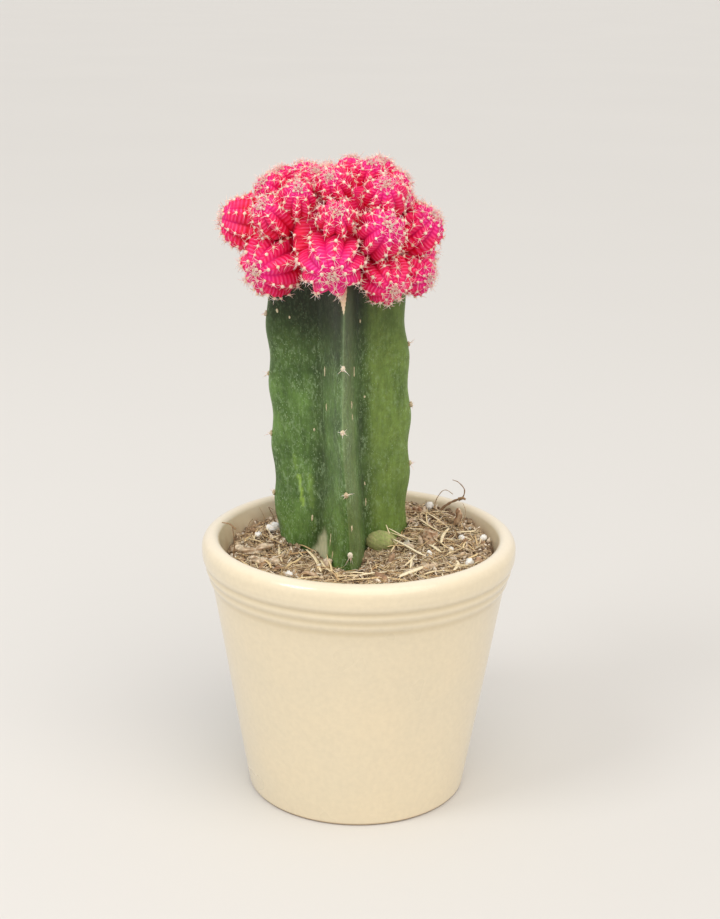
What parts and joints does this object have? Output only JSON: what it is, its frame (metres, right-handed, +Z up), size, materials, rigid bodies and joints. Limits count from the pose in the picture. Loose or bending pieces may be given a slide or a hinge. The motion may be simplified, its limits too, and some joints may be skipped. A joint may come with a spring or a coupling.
{
  "type": "potted moon cactus",
  "caption": "Grafted cactus: a ribbed globular scion crowded with offsets on an upright three-ribbed stem, standing in potting mix in a round glazed ceramic pot.",
  "frame": {"origin": "centre of the pot's foot, on the surface that the pot stands on", "axes": "+Z up along the pot's axis; -Y is the front of the plant, +X its right side seen from the front"},
  "size_m": [0.09, 0.09, 0.1854],
  "materials": {
    "pot_glaze": "gloss",
    "stem_skin": "satin",
    "scion_skin": "satin",
    "potting_mix": "matte"
  },
  "bodies": {
    "root": {"pot": "pot_glaze", "soil": "potting_mix", "stem": "stem_skin", "scion": "scion_skin"}
  },
  "joints": []
}
